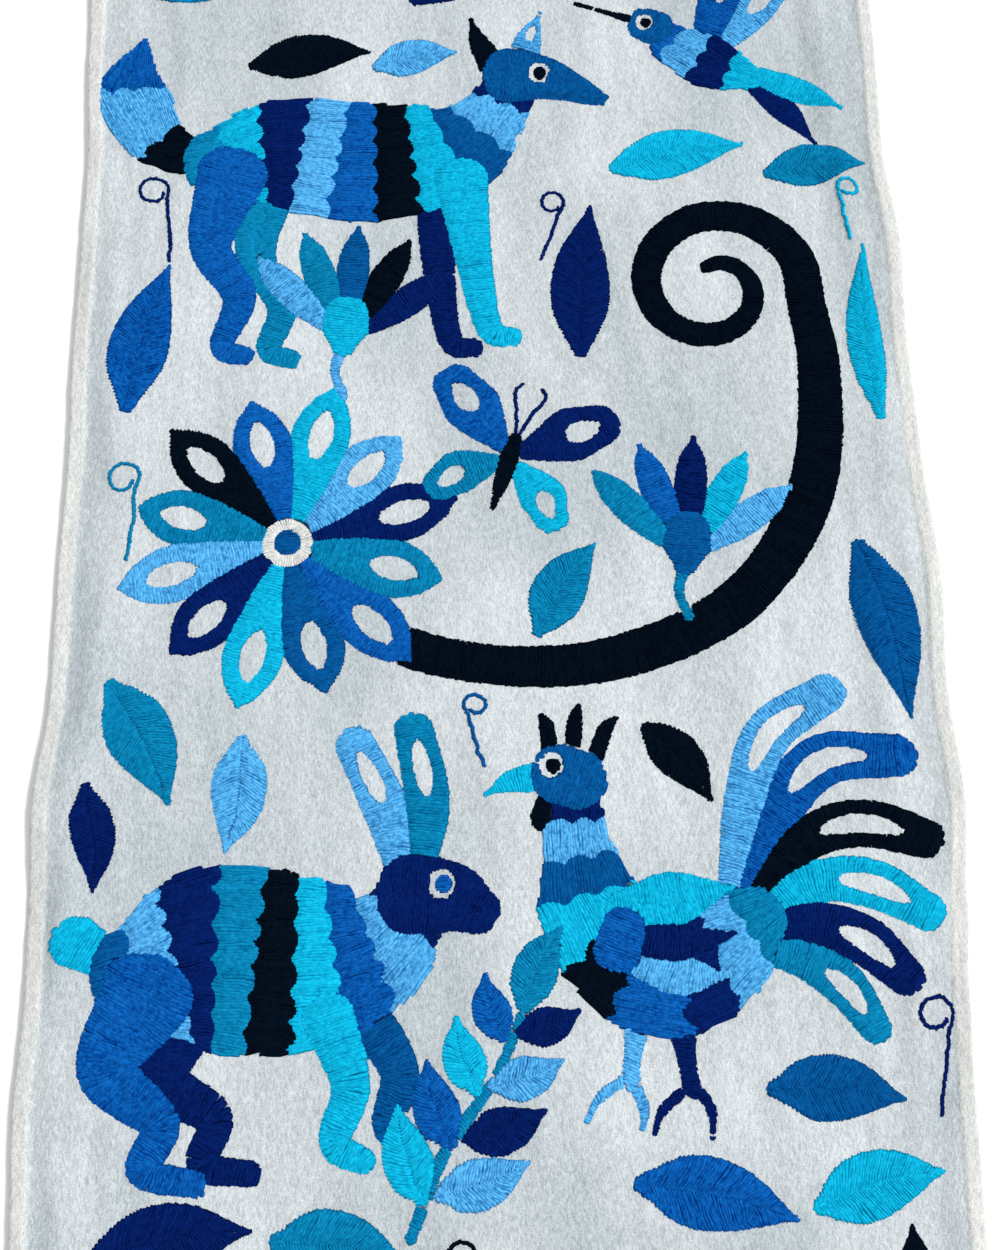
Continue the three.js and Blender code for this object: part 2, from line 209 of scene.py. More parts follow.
LEAVES = """
across along turn long half thread
    43   100   84   80   14 N
    62   200   10   66   13 Q
   138   196    4   52   11 T
  -173    74   76   78   14 R
  -118   262    6   60   12 K
   -56   260   10   42   10 L
    20   -38   56   50   12 T
   165     2  -79   84   13 M
  -172   -60  -62   62   14 T
  -112   -86  -98   50   12 L
  -166  -298    8   66   14 N
   -92  -292  -10   54   13 T
    56  -272  -14   66   14 R
   128  -282   12   58   13 Q
   112  -236   -6   58   13 M
    14  -314  -20   54   12 L
   176  -334   98   46   11 K
  -170   306   12   62   13 T
  -102   314   -8   52   12 L
   -36   300   28   60   12 N
    14   330   -6   52   12 Q
   170   312   84   62   13 K
   -18   474   96   56   12 Q
    14   516   98   44   10 N
   -46   580   -8   48   11 T
  -160   582   -8   46   10 L
   168   466   80   60   12 L
     4  -526  -86   42   11 L
   168  -512  -84   58   12 M
   -22  -414  -64   48   11 T
  -170  -566   66   44   10 R
   -34  -584    6   48    9 Q
    98  -318   10   54   12 T
   182    64   90   92    8 Q
    66   -82  -52   44   10 K
  -177  -106  -86   46    9 N"""
TENDRILS = """
across along turn size flip thread
  -164   184   14    1    0 N
  -172    32    6    1    0 T
    30   176  -12  0.8    0 N
    -8   -76    8  0.7    1 M
   184  -214    0    1    0 N
   178   182   -6  0.7    1 Q
   178   420  -10    1    1 T
   -16  -304   10  0.8    0 K
    28  -556   10    1    0 T
  -182  -412   10    1    0 N
   -50  -404    0  0.9    0 N"""


# %% Read the tables
def read_table(text):
    """One dict for each line under the header, numbers as numbers."""
    header, *lines = [line.split() for line in text.strip().splitlines()]
    numeric = lambda cell: float(cell) if cell.lstrip("-").replace(".", "").isdigit() else cell
    return [dict(zip(header, map(numeric, cells))) for cells in lines]


def read_figures(text):
    """A word alone on its line starts a figure, and each line after it is one part."""
    figures = {}
    for line in text.strip().splitlines():
        part, *rest = line.split()
        if rest:
            fill, threads, *points = rest
            parts.append((part, fill, threads, [tuple(map(float, p.split(","))) for p in points]))
        else:
            parts = figures[part] = []
    return figures


FIGURES = read_figures(FIGURE_ROWS)
print(len(FIGURES), "animals,", sum(map(len, FIGURES.values())), "parts")


# %% Place a middle line on the cloth
PLACE = ("across", "along", "turn", "size", "flip")


def placed(line, across, along, turn=0, size=1, flip=0):
    angle = math.radians(turn)
    rows = []
    for x, y, half in line:
        px, py = (-x if flip else x) * size, y * size
        rows.append((
            across + math.cos(angle) * px - math.sin(angle) * py,
            along + math.sin(angle) * px + math.cos(angle) * py,
            half * size,
        ))
    return rows


def placed_by(row, line):
    """Placed as a row of a table says."""
    return placed(line, *(row[key] for key in PLACE if key in row))


# %% [markdown]
# ## Plants by formula
# Petals round a heart, leaflets along a twig and a curling vine all repeat by rule, so loops
# draw them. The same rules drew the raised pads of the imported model, so both agree.

# %% Flower, bud, twig, vine and tendril
def leaf_line(long, half, bend=4):
    return [(0, 0, half * 0.2), (long * 0.3, bend * 0.5, half * 0.95),
            (long * 0.62, bend * 0.8, half * 0.85), (long, bend * 0.3, 0)]


def flower(threads="NLQRKTLNQMRT", long=80, short=73, half=13.5):
    parts = []
    for k, thread in enumerate(threads):
        reach = short if k % 2 else long
        line = [(reach * 0.1, 0, half * 0.22), (reach * 0.42, 0, half * 0.75),
                (reach * 0.7, 0, half), (reach * 0.88, 0, half * 0.65), (reach, 0, 0)]
        turn = 15 + 360 / len(threads) * k
        parts.append(("petal", "eyelet", thread, placed(line, 0, 0, turn)))
    parts.append(("heart", "heart", "M", [(0, 0, 8.5)]))
    return parts


def bud(threads="LQNRT", apart=24):
    parts = []
    for k, thread in enumerate(threads):
        line = [(16, 0, 4), (42, 0, 9.5), (66, 0, 8), (82, 0, 0)]
        turn = apart * (k - (len(threads) - 1) / 2)
        parts.append(("petal", "satin", thread, placed(line, 0, 0, turn)))
    parts.append(("stalk", "satin", "T", [(-34, -4, 3), (-18, 3, 3), (0, 0, 4)]))
    parts.append(("cup", "satin", "M", [(-2, 0, 7), (10, 0, 14), (22, 0, 13)]))
    return parts


def twig(pairs=4, apart=24):
    parts = [("stalk", "satin", "T", [(-6, 0, 2.4), (30, 3, 2.6), (64, -2, 2.4), (96, 0, 2)])]
    for k in range(pairs):
        along, long, half = 8 + apart * k, 40 - 4 * k, 10 - 0.7 * k
        left = placed(leaf_line(long, half, 3), along, 2, 42)
        right = placed(leaf_line(long, half, -3), along + 5, -2, -42)
        parts.append(("leaflet", "leaf", "QR"[k % 2], left))
        parts.append(("leaflet", "leaf", "LN"[k % 2], right))
    parts.append(("leaflet", "leaf", "T", placed(leaf_line(38, 9.5), 94, 0)))
    return parts


def vine(steps=14, start=-14, turns=480, outer=46, inner=11, half=9.2, thinner=5.7):
    x, y = 108, 134
    line = [(-88, 0, 7), (-52, -38, 9), (0, -53, 9), (56, -50, 10), (112, -24, 10.5),
            (147, 28, 10.5), (156, 88, 10)]
    for k in range(steps):
        t = k / (steps - 1)
        angle = math.radians(start + turns * t)
        radius = outer - (outer - inner) * t
        line.append((x + radius * math.cos(angle), y + radius * math.sin(angle), half - thinner * t))
    return [("vine", "satin", "K", line)]


def tendril(radius=8.5, start=-50, turns=1.12, smaller=0.42, stem=34, steps=12):
    line = [(0, -stem, 1), (4, -stem * 0.45, 1)]
    for k in range(steps):
        t = k / (steps - 1)
        angle = math.radians(start + 360 * turns * t)
        reach = radius * (1 - smaller * t)
        line.append((math.cos(angle) * reach, 4 + (math.sin(angle) + 0.4) * reach, 1))
    return line


FIGURES.update(flower=flower(), bud=bud(), twig=twig(), vine=vine())

# %% Lay everything out
THREADS = "KNRMTQL"
ROUND_FILLS = ("eye", "heart")


def shifted(threads, shift):
    """Other colours for a repeated figure: each thread steps on through the list."""
    return "".join(THREADS[(THREADS.index(t) + int(shift)) % len(THREADS)] for t in threads)


def lay_out():
    parts = []
    for row in read_table(LAYOUT):
        for part, fill, threads, line in FIGURES[row["figure"]]:
            colours = threads if fill in ROUND_FILLS else shifted(threads, row["shift"])
            parts.append((part, fill, colours, placed_by(row, line)))
    for row in read_table(LEAVES):
        line = leaf_line(row["long"], row["half"])
        parts.append(("leaf", "leaf", row["thread"], placed_by(row, line)))
    for row in read_table(TENDRILS):
        line = [(x, y, 1) for x, y, _ in placed_by(row, tendril())]
        parts.append(("tendril", "line", row["thread"], line))
    return parts


PARTS = lay_out()
print(len(PARTS), "stitched parts on the whole runner")

# %% [markdown]
# ## The cloth's lie
# The runner lies on a table. Long soft ridges run beside its hems, and the drawn-in stitching
# puckers the bare cotton into fine slanting wrinkles. A cloth simulation could do this, but the
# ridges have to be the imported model's own, so a height is worked out at each point instead:
# the ridges from their table, and the wrinkles from smooth random values stretched one way.

# %% Sizes of the cloth, in millimetres
WIDTH, LENGTH = 400, 1200
UNDERSIDE = 0.3
CLOTH = 0.75
HEM, HEM_RISE = 7.6, 0.72
EDGES = read_table("""
along left right
 -600    0     0
 -500  1.5     1
 -400   -1  -1.5
 -300    1  -4.6
 -240 -1.7  -3.5
 -200 -0.3  -1.7
 -160   -1   1.3
 -115   -3     5
  -65  1.2   2.2
  -15  1.1   4.4
   50  2.2   0.8
  105  0.7  -0.6
  155  1.2     1
  210  1.2  -3.4
  270   -2  -2.5
  320 -3.6  -2.9
  400 -5.1   1.5
  500 -1.5    -1
  600    0     0""")
RIDGES = read_table("""
across along turn long half high
   174   250    4  240   10  2.2
   184    70   -3  240    9  1.9
   172   -60    2  200    9  1.6
   178  -220   -5  220   10  2.1
   176   440    3  200   10  1.7
   180  -470    2  220   10  1.8
   172   206   84   44    8  1.6
  -186   140    2  220    9  1.5
  -183  -110   -3  240    9  1.7
  -185   430    3  240    9  1.6
  -182  -420   -2  240    9  1.8""")


# %% Blends, smooth steps and smooth random values
LATTICE = 128


def blend(a, b, t):
    return a + (b - a) * t


def axes_turned(x, y, turn):
    """A place across and along axes that are turned by some degrees."""
    angle = math.radians(turn)
    return (math.cos(angle) * x + math.sin(angle) * y,
            -math.sin(angle) * x + math.cos(angle) * y)


def smooth_step(x, start, end):
    t = np.clip((x - start) / (end - start), 0, 1)
    return t * t * (3 - 2 * t)


def noise(x, y, cell, long, turn, seed):
    """Random values from -1 to 1 in cells that are cell wide, long long and turned."""
    lattice = np.random.default_rng(seed).uniform(-1, 1, (LATTICE, LATTICE))
    across, along = axes_turned(x, y, turn)
    u, v = across / cell, along / long
    iu, iv = np.floor(u).astype(int), np.floor(v).astype(int)
    fu, fv = smooth_step(u - iu, 0, 1), smooth_step(v - iv, 0, 1)
    pick = lambda a, b: lattice[(iu + a) % LATTICE, (iv + b) % LATTICE]
    near = pick(0, 0) * (1 - fu) + pick(1, 0) * fu
    far = pick(0, 1) * (1 - fu) + pick(1, 1) * fu
    return near * (1 - fv) + far * fv


# %% Edge wander and ridges
STRAIGHT_TO = 120


def wander(x, y):
    """How far a point moves across, because the long edges aren't straight."""
    stops = np.array([row["along"] for row in EDGES])
    place = np.clip(np.searchsorted(stops, y, side="left"), 1, len(stops) - 1)
    t = smooth_step((y - stops[place - 1]) / (stops[place] - stops[place - 1]), 0, 1)
    sides = []
    for side in ("left", "right"):
        offset = np.array([row[side] for row in EDGES])
        sides.append(blend(offset[place - 1], offset[place], t))
    return smooth_step(np.abs(x), STRAIGHT_TO, WIDTH / 2) * np.where(x < 0, *sides)


def lift(x, y):
    high = np.zeros(np.broadcast(x, y).shape)
    for row in RIDGES:
        across, along = axes_turned(x - row["across"], y - row["along"], row["turn"])
        s = 1 - smooth_step(np.abs(across), 0, row["half"] * 1.6)
        t = 1 - smooth_step(np.abs(along), row["long"] * 0.2, row["long"] * 0.5)
        high = np.maximum(high, row["high"] * s * t)
    return high


# %% [markdown]
# ## Middle lines become ribbons
# A smooth curve runs through the points of each row (a Catmull-Rom curve, which passes through
# every point). Blunt ends get a half-oval cap. A point on a ribbon is then given by how far along
# it is and how far out to the side, which is all that a stitch needs.

# %% Ribbon
SAMPLE = 1.0
CAP = 0.8
BLUNT = 1.2
NARROWEST = 1.0


def smooth_line(rows):
    p = np.array(rows, float)
    if len(p) > 2:
        ends = np.vstack([2 * p[0] - p[1], p, 2 * p[-1] - p[-2]])
        pieces = []
        for a, b, c, d in zip(ends, ends[1:], ends[2:], ends[3:]):
            count = max(2, int(np.hypot(*(c - b)[:2]) / SAMPLE) + 1)
            t = np.linspace(0, 1, count, endpoint=False)[:, None]
            pieces.append(0.5 * (2 * b + (c - a) * t + (2 * a - 5 * b + 4 * c - d) * t**2
                                 + (3 * b - a - 3 * c + d) * t**3))
        return np.vstack([*pieces, p[-1:]])
    count = max(3, int(np.hypot(*(p[1] - p[0])[:2]) / SAMPLE) + 1)
    t = np.linspace(0, 1, count)[:, None]
    return p[0] * (1 - t) + p[1] * t


class Ribbon:
    """A middle line sampled about every millimetre, with its half width and its left side."""

    def __init__(self, rows):
        q = smooth_line(rows)
        q[:, 2] = np.maximum(q[:, 2], NARROWEST)
        self.caps = [row[2] * CAP if row[2] > BLUNT else 0 for row in (q[0], q[-1])]
        start, end = q[0] - q[1], q[-1] - q[-2]
        q = np.vstack([self.cap(q[0], start)[::-1], q, self.cap(q[-1], end)])
        run = np.gradient(q[:, :2], axis=0)
        run /= np.maximum(np.hypot(*run.T), 1e-9)[:, None]
        self.mid, self.half = q[:, :2], q[:, 2]
        self.left = np.stack([-run[:, 1], run[:, 0]], 1)
        self.s = np.concatenate([[0], np.cumsum(np.hypot(*np.diff(self.mid, axis=0).T))])
        self.long = self.s[-1]

    @staticmethod
    def cap(row, run):
        if row[2] <= BLUNT:
            return np.empty((0, 3))
        t = np.linspace(0, 1, max(3, int(row[2] * CAP / SAMPLE) + 1))[1:]
        run = run[:2] / np.hypot(*run[:2])
        place = row[:2] + run * (t * row[2] * CAP)[:, None]
        return np.column_stack([place, np.maximum(row[2] * np.sqrt(1 - t**2), 0.2)])

    def width(self, s):
        return np.interp(s, self.s, self.half)

    def reach(self, s):
        """The half width, without the rounding of blunt ends."""
        return self.width(np.clip(s, self.caps[0], self.long - self.caps[1]))

    def at(self, s, side):
        """The point at s, side millimetres to the left of the middle line."""
        pick = lambda column: np.interp(s, self.s, column)
        return np.stack([pick(self.mid[:, i]) + side * pick(self.left[:, i]) for i in (0, 1)], -1)


RIBBONS = [Ribbon(line) if len(line) > 1 else None for _, _, _, line in PARTS]
print("longest ribbon, mm:", round(max(r.long for r in RIBBONS if r)))

# %% [markdown]
# ## Which part owns which spot
# An embroiderer never sews a leg on top of a finished body: the body's stitches stop where the
# leg begins. So each part is painted into a fine map by its number, later parts over earlier
# ones, with the eyelets left bare. A stitch is then kept only where the map holds its own number.

# %% Owner map
CELL = 0.5
COLUMNS, ROWS = int(WIDTH / CELL) + 40, int(LENGTH / CELL)
owners = np.full((ROWS, COLUMNS), -1, np.int32)
EYE_RING, EYE_PUPIL, PUPIL_ASIDE = 1.35, 0.72, 0.22


def cell_of(points):
    i = np.clip(((points[..., 0] + COLUMNS * CELL / 2) / CELL).astype(int), 0, COLUMNS - 1)
    j = np.clip(((points[..., 1] + LENGTH / 2) / CELL).astype(int), 0, ROWS - 1)
    return j, i


def paint(ribbon, number, start=0.0, end=1.0, share=1.0):
    fine = CELL / (2 + ribbon.half.max() / 5)
    s = np.arange(ribbon.long * start, ribbon.long * end, fine)
    half = ribbon.width(s) * share
    if start > 0:
        t = (s / ribbon.long - start) / (end - start)
        half = np.minimum(half * np.sqrt(np.clip(1 - (2 * t - 1) ** 2, 0, 1)),
                          ribbon.width(s) - EYELET_BAND)
        s, half = s[half > CELL], half[half > CELL]
    u = np.linspace(-1, 1, int(4 * half.max() / CELL) + 3)
    owners[cell_of(ribbon.at(s[:, None], half[:, None] * u[None]))] = number


def disc(x, y, radius, number):
    span = np.arange(-radius, radius, CELL / 2)
    dx, dy = np.meshgrid(span, span)
    inside = dx**2 + dy**2 < radius**2
    owners[cell_of(np.stack([x + dx[inside], y + dy[inside]], -1))] = number


EYELET = dict(start=0.5, end=0.84, share=0.4)
EYELET_BAND = 3
PUPILS = len(PARTS)
for number, (_, fill, _, line) in enumerate(PARTS):
    if fill in ROUND_FILLS:
        x, y, radius = line[0]
        disc(x, y, radius * EYE_RING, number if fill == "heart" else -1)
        aside = radius * PUPIL_ASIDE if fill == "eye" else 0
        disc(x + aside, y, radius * EYE_PUPIL, number + PUPILS)
        continue
    paint(RIBBONS[number], number)
    if fill == "eyelet":
        paint(RIBBONS[number], -1, **EYELET)
print("share of the face that is sewn:", round(float((owners >= 0).mean()), 3))

# %% [markdown]
# ## Puckers
# Bare cotton between the figures wrinkles, while under the dense stitching it is held flat. A
# blurred copy of the owner map tells the two apart. The wrinkles are about a millimetre high,
# which raking light shows well.

# %% Surface height
def blurred(mask, reach):
    """A box blur, by differences of running sums along each direction."""
    for axis in (0, 1):
        padding = [(reach + 1, reach) if axis == k else (0, 0) for k in (0, 1)]
        sums = np.cumsum(np.pad(mask, padding, mode="edge"), axis=axis)
        upper = np.take(sums, range(2 * reach + 1, sums.shape[axis]), axis=axis)
        lower = np.take(sums, range(sums.shape[axis] - 2 * reach - 1), axis=axis)
        mask = (upper - lower) / (2 * reach + 1)
    return mask


BLUR = 4
dense = blurred((owners >= 0).astype(float), BLUR)
sewn = blurred(blurred(dense, BLUR), BLUR)


WRINKLES = read_table("""
kind    high cell long turn seed
fine    0.26  3.6   16   38    1
fine     0.2  4.4   20  -28    2
folds   0.65    9   60   12    3
folds    0.7   14   80   -8    4
creases  1.3    8  150    2    5
creases    1  5.6   60   -4    9
waves    0.9   26   90    6   13
broad   0.25   60   90   30    6""")
WRINKLE_MIDDLE, WRINKLE_SHARE, HELD_FLAT = 1.3, 0.55, 0.75
MARGIN = (125, 165)


def rough(kind, x, y):
    """The sum of one kind's rows in the table of wrinkles."""
    return sum(row["high"] * noise(x, y, row["cell"], row["long"], row["turn"], int(row["seed"]))
               for row in WRINKLES if row["kind"] == kind)


def wrinkles(x, y):
    """Fine puckers and folds on bare cloth, creases near the hems, and slow waves everywhere."""
    bare = 1 - HELD_FLAT * sewn[cell_of(np.stack([x, y], -1))]
    creases = rough("creases", x, y) * smooth_step(np.abs(x), *MARGIN)
    loose = (rough("fine", x, y) + rough("folds", x, y) + creases) * bare
    return np.maximum(WRINKLE_MIDDLE + loose + rough("waves", x, y) + rough("broad", x, y), 0)


def underside(x, y):
    return UNDERSIDE + lift(x, y)


def face(x, y):
    """The upper face of the bare cloth."""
    return CLOTH + UNDERSIDE + lift(x, y) + WRINKLE_SHARE * wrinkles(x, y)


spot = np.linspace(-150, 150, 400)
print("bare face height, mm:", np.round(np.percentile(face(spot, spot), [0, 50, 100]), 2))

# %% [markdown]
# ## The cloth mesh
# The cloth is one closed mesh. The face has a fine grid that carries the wrinkles, with extra
# lines where the hem turns; the underside needs far fewer faces. Both share the outline, so the
# rim is closed by polygons that join one long edge below to several short ones above.

# %% Grid lines
EDGE_LINES = [0, 0.3, 0.9, 2.2, 3.8, 5.2, 6.2, 7.1, 8, 9.2]
FACE_GRID = 2.5
UNDERSIDE_EVERY = 3


def grid_lines(half):
    inner = half - EDGE_LINES[-1]
    count = int(2 * inner / FACE_GRID)
    middle = np.linspace(-inner, inner, count)[1:-1]
    edge = np.array(EDGE_LINES)
    return np.concatenate([edge - half, middle, (half - edge)[::-1]])


xs, ys = grid_lines(WIDTH / 2), grid_lines(LENGTH / 2)
print("grid of the face:", len(xs), "by", len(ys))


# %% Cloth
ROLL, HEM_SINKS, HEM_LUMPS, HEM_WANDER = 1.1, 0.6, 0.16, 0.5
HEM_SLOPE = (-1.3, 1.1)
# Where the band of painted shade beside the hem starts and ends, in millimetres from the edge.
HEM_SHADE_BAND = (7, 11, 13, 26)


def from_edge(x, y):
    return np.minimum(WIDTH / 2 - np.abs(x), LENGTH / 2 - np.abs(y))


def hem_rise(x, y):
    """How much a point is on the hem, how high the hem stands, and how the very edge rounds off."""
    edge = from_edge(x, y)
    turn = HEM + HEM_WANDER * noise(x, y, 26, 26, 0, 7)
    on_hem = 1 - smooth_step(edge, turn + HEM_SLOPE[0], turn + HEM_SLOPE[1])
    out = np.clip(edge / ROLL, 0.02, 1)
    lumps = 1 + HEM_LUMPS * noise(x, y, 5, 5, 20, 8)
    return on_hem, HEM_RISE * on_hem * lumps, np.sqrt(out * (2 - out))


def painted_hem_shade(x, y):
    """Painted shade in a band beside the hem, stronger in some places than in others."""
    edge = from_edge(x, y)
    beside = smooth_step(edge, *HEM_SHADE_BAND[:2]) * (1 - smooth_step(edge, *HEM_SHADE_BAND[2:]))
    return beside * (0.6 + 0.5 * noise(x, y, 18, 60, 0, 12))


def kept_lines(count):
    return sorted({*range(0, count, UNDERSIDE_EVERY), count - 1})


def cloth_mesh():
    gx, gy = np.meshgrid(xs, ys)
    on_hem, rise, rolled = hem_rise(gx, gy)
    below = underside(gx, gy) * (1 - HEM_SINKS * on_hem)
    above = below + (face(gx, gy) + rise - below) * rolled
    px = gx + wander(gx, gy)
    nx, ny = len(xs), len(ys)
    upper = np.arange(nx * ny).reshape(ny, nx)
    ix, iy = kept_lines(nx), kept_lines(ny)
    lower = nx * ny + np.arange(len(ix) * len(iy)).reshape(len(iy), len(ix))
    pick = np.ix_(iy, ix)
    points = np.vstack([
        np.stack([px, gy, above], -1).reshape(-1, 3),
        np.stack([px[pick], gy[pick], below[pick]], -1).reshape(-1, 3),
    ])
    quads = np.stack([upper[:-1, :-1], upper[:-1, 1:], upper[1:, 1:], upper[1:, :-1]], -1)
    backs = np.stack([lower[:-1, :-1], lower[1:, :-1], lower[1:, 1:], lower[:-1, 1:]], -1)
    faces = quads.reshape(-1, 4).tolist() + backs.reshape(-1, 4).tolist()
    for k, (a, b) in enumerate(zip(iy, iy[1:])):
        faces.append([lower[k + 1, 0], lower[k, 0], *upper[a:b + 1, 0]])
        faces.append([lower[k, -1], lower[k + 1, -1], *upper[a:b + 1, -1][::-1]])
    for k, (a, b) in enumerate(zip(ix, ix[1:])):
        faces.append([lower[0, k], lower[0, k + 1], *upper[0, a:b + 1][::-1]])
        faces.append([lower[-1, k + 1], lower[-1, k], *upper[-1, a:b + 1]])
    # Painted shade under dense stitching, where the slits between stitches lie in shade; the underside
    # gets none.
    under_stitch_shade = smooth_step(dense[cell_of(np.stack([gx, gy], -1))], 0.9, 1)
    both = lambda values, lower=1: np.append(values, lower * values[pick])
    shading = dict(hem=both(on_hem), painted_hem_shade=both(painted_hem_shade(gx, gy)), under_stitch_shade=both(under_stitch_shade, lower=0))
    return points, faces, shading


def add_piece(name, points, faces):
    mesh = bpy.data.meshes.new(name)
    mesh.from_pydata((points * MM).tolist(), [], faces)
    mesh.validate()
    mesh.polygons.foreach_set("use_smooth", [True] * len(mesh.polygons))
    return add_object(name, mesh)


def store(piece, name, values, kind="FLOAT", key="value"):
    """Keeps a value for each point of a piece, which its material reads."""
    made = piece.data.attributes.new(name, kind, "POINT")
    made.data.foreach_set(key, values.ravel().astype(np.float32))


def count_triangles(piece):
    return sum(len(p.vertices) - 2 for p in piece.data.polygons)


points, faces, shading = cloth_mesh()
cloth = add_piece("cloth", points, faces)
for name, values in shading.items():
    store(cloth, name, values)
print("cloth:", count_triangles(cloth), "triangles")

# %% [markdown]
# ## Planning the stitches
# Limbs, petals and stalks are sewn straight across. Leaves are sewn from a middle vein out to
# the edge, slanting forward. Bodies are filled in bands, with stitches along the body whose
# ends meet in scallops. A line is a row of short overlapping stitches. Each function below lists
# stitches as start, end and the thread's width at both ends.

# %% Stitch kit
PITCH = 1.25
NARROW, WIDE = 0.7 * PITCH, 1.7 * PITCH
rng = np.random.default_rng(20)


def jitter(count, amount):
    return rng.uniform(-amount, amount, count)


def widths(points):
    """Widths that follow the spacing of neighbouring stitch ends."""
    if len(points) < 2:
        return np.full(len(points), PITCH)
    step = np.hypot(*np.diff(points, axis=0).T)
    gaps = np.concatenate([step[:1], np.maximum(step[:-1], step[1:]), step[-1:]])
    return np.clip(gaps, NARROW, WIDE)


def stitches(first, last):
    return np.column_stack([first, last, widths(first), widths(last)])


# %% Fills
TEETH, TEETH_ACROSS, TEETH_ALONG = 0.45, 0.7, 0.6
DRIFT, DRIFT_SHORT, DRIFT_LONG = 0.7, 6.5, 17


def drift(place):
    """A hand never keeps one slant: neighbouring stitches lean slowly one way, then the other."""
    short = np.sin(place / DRIFT_SHORT + jitter(1, 3))
    return DRIFT * short * np.sin(place / DRIFT_LONG + jitter(1, 3))


SLANT, SLANT_UNEVEN = 0.35, 0.25
SPLIT_OVER, SPLIT_NEAR, SPLIT_ASIDE = 11.5, 0.8, 3.2
FAN_FROM, FAN_ROOT, FAN_UNEVEN = 1.5, 0.3, 0.3
FAN_WIDE = (0.6 * PITCH, 1.2 * PITCH)


def fan_fills(ribbon, s, half):
    """Short stitches from half way out, where a bend spreads the edge ends apart."""
    rows = []
    for side in (-1, 1):
        gaps = np.hypot(*np.diff(ribbon.at(s, side * half), axis=0).T)
        for i in np.flatnonzero(gaps > FAN_FROM * PITCH):
            count = int(gaps[i] / PITCH)
            for k in range(1, count + 1):
                at = s[i] + PITCH * k / (count + 1)
                reach = half[i] + rng.uniform(-FAN_UNEVEN, FAN_UNEVEN)
                ends = ribbon.at(np.full(2, at), side * reach * np.array([FAN_ROOT, 1]))
                rows.append((*ends[0], *ends[1], *FAN_WIDE))
    return np.array(rows).reshape(-1, 6)


def sew_across(ribbon):
    s = np.arange(PITCH / 2, ribbon.long, PITCH)
    half = ribbon.width(s)
    slant = SLANT + drift(s) + jitter(len(s), SLANT_UNEVEN)
    out = half + jitter(len(s), TEETH) * TEETH_ACROSS
    first, last = ribbon.at(s - slant, -out), ribbon.at(s + slant, out)
    fans = fan_fills(ribbon, s, half)
    if half.max() < SPLIT_OVER:
        return np.vstack([fans, stitches(first, last)])
    middle = ribbon.at(s, jitter(len(s), SPLIT_ASIDE))
    wide = half > SPLIT_OVER * SPLIT_NEAR
    whole = stitches(first[~wide], last[~wide])
    outer, inner = stitches(first[wide], middle[wide]), stitches(middle[wide], last[wide])
    return np.vstack([fans, whole, outer, inner])


LEAF_TIP, LEAF_SLANT, LEAF_AHEAD, LEAF_FROM, VEIN = 6.5, 0.5, 0.6, 0.4, 0.05
TIP_WIDE = (1.5 * PITCH, PITCH)


def sew_leaf(ribbon):
    """Two slanting halves that meet in a vein, and one stitch along the vein at either end."""
    s = np.arange(-LEAF_FROM * ribbon.half.max(), ribbon.long - 1, PITCH)
    root = np.clip(s, 0, None)
    ahead = np.clip(s + LEAF_SLANT * ribbon.width(root) + LEAF_AHEAD, 0, ribbon.long)
    sides = []
    for side in (-1, 1):
        out = side * (ribbon.width(ahead) + jitter(len(s), TEETH) * TEETH_ALONG)
        sides.append(stitches(ribbon.at(root, side * VEIN), ribbon.at(ahead, out)))
    for start, end in ((ribbon.long - LEAF_TIP, ribbon.long), (LEAF_TIP, 0)):
        tip = ribbon.at(np.array([start, end]), np.zeros(2))
        sides.append([[*tip[0], *tip[1], *TIP_WIDE]])
    return np.vstack(sides)


SCALLOP, SCALLOP_DEPTH, SCALLOP_UNEVEN = 12.5, 3.2, 1.8
BAND_OVER, TUCK, LEAN = 5, 0.3, 0.3


def scallops(reach):
    """The wavy line where two bands meet, as a function of the place across."""
    side = np.arange(-reach, reach, 0.5)
    uneven = side + SCALLOP_UNEVEN * np.sin(side / 9 + jitter(1, 3))
    wave = np.abs(np.sin(math.pi * uneven / (SCALLOP + jitter(1, 1.5)) + jitter(1, 1.5))) ** 0.8
    return lambda place: np.interp(place, side, SCALLOP_DEPTH * wave)


def sew_bands(ribbon, threads):
    """Each band has the stitches that its wider end needs, fanned out to follow the outline."""
    cuts = np.linspace(0, ribbon.long, len(threads) + 1)
    edges = [scallops(ribbon.half.max()) for _ in cuts]
    edges[0] = edges[-1] = lambda place: 0 * place
    rows = []
    for k, thread in enumerate(threads):
        reach = ribbon.reach(cuts[k:k + 2]) + BAND_OVER
        share = np.linspace(-1, 1, int(2 * reach.max() / PITCH) + 1)
        lean = drift(share * reach.max()) + jitter(len(share), LEAN)
        ends = []
        for i, way in enumerate((-1, 1)):
            side = share * reach[i]
            teeth = jitter(len(side), TEETH * TEETH_ALONG)
            place = cuts[k + i] + edges[k + i](side) + teeth + way * TUCK
            ends.append(ribbon.at(place, side + way * lean))
        rows.append((thread, stitches(*ends)))
    return rows


LINE_STITCH, LINE_WIDE = 3.0, 1.35
OVERLAP, ASIDE = 0.5, 0.25


def sew_line(ribbon):
    s = np.arange(0, ribbon.long, LINE_STITCH)
    first = ribbon.at(np.maximum(s - OVERLAP, 0), -ASIDE)
    last = ribbon.at(np.minimum(s + LINE_STITCH + OVERLAP, ribbon.long), ASIDE)
    wide = np.full(len(s), LINE_WIDE)
    return np.column_stack([first, last, wide, wide])


RING_WIDE = (0.8, 1.35)
PUPIL_PITCH, PUPIL_WIDE = 1.0, 1.15


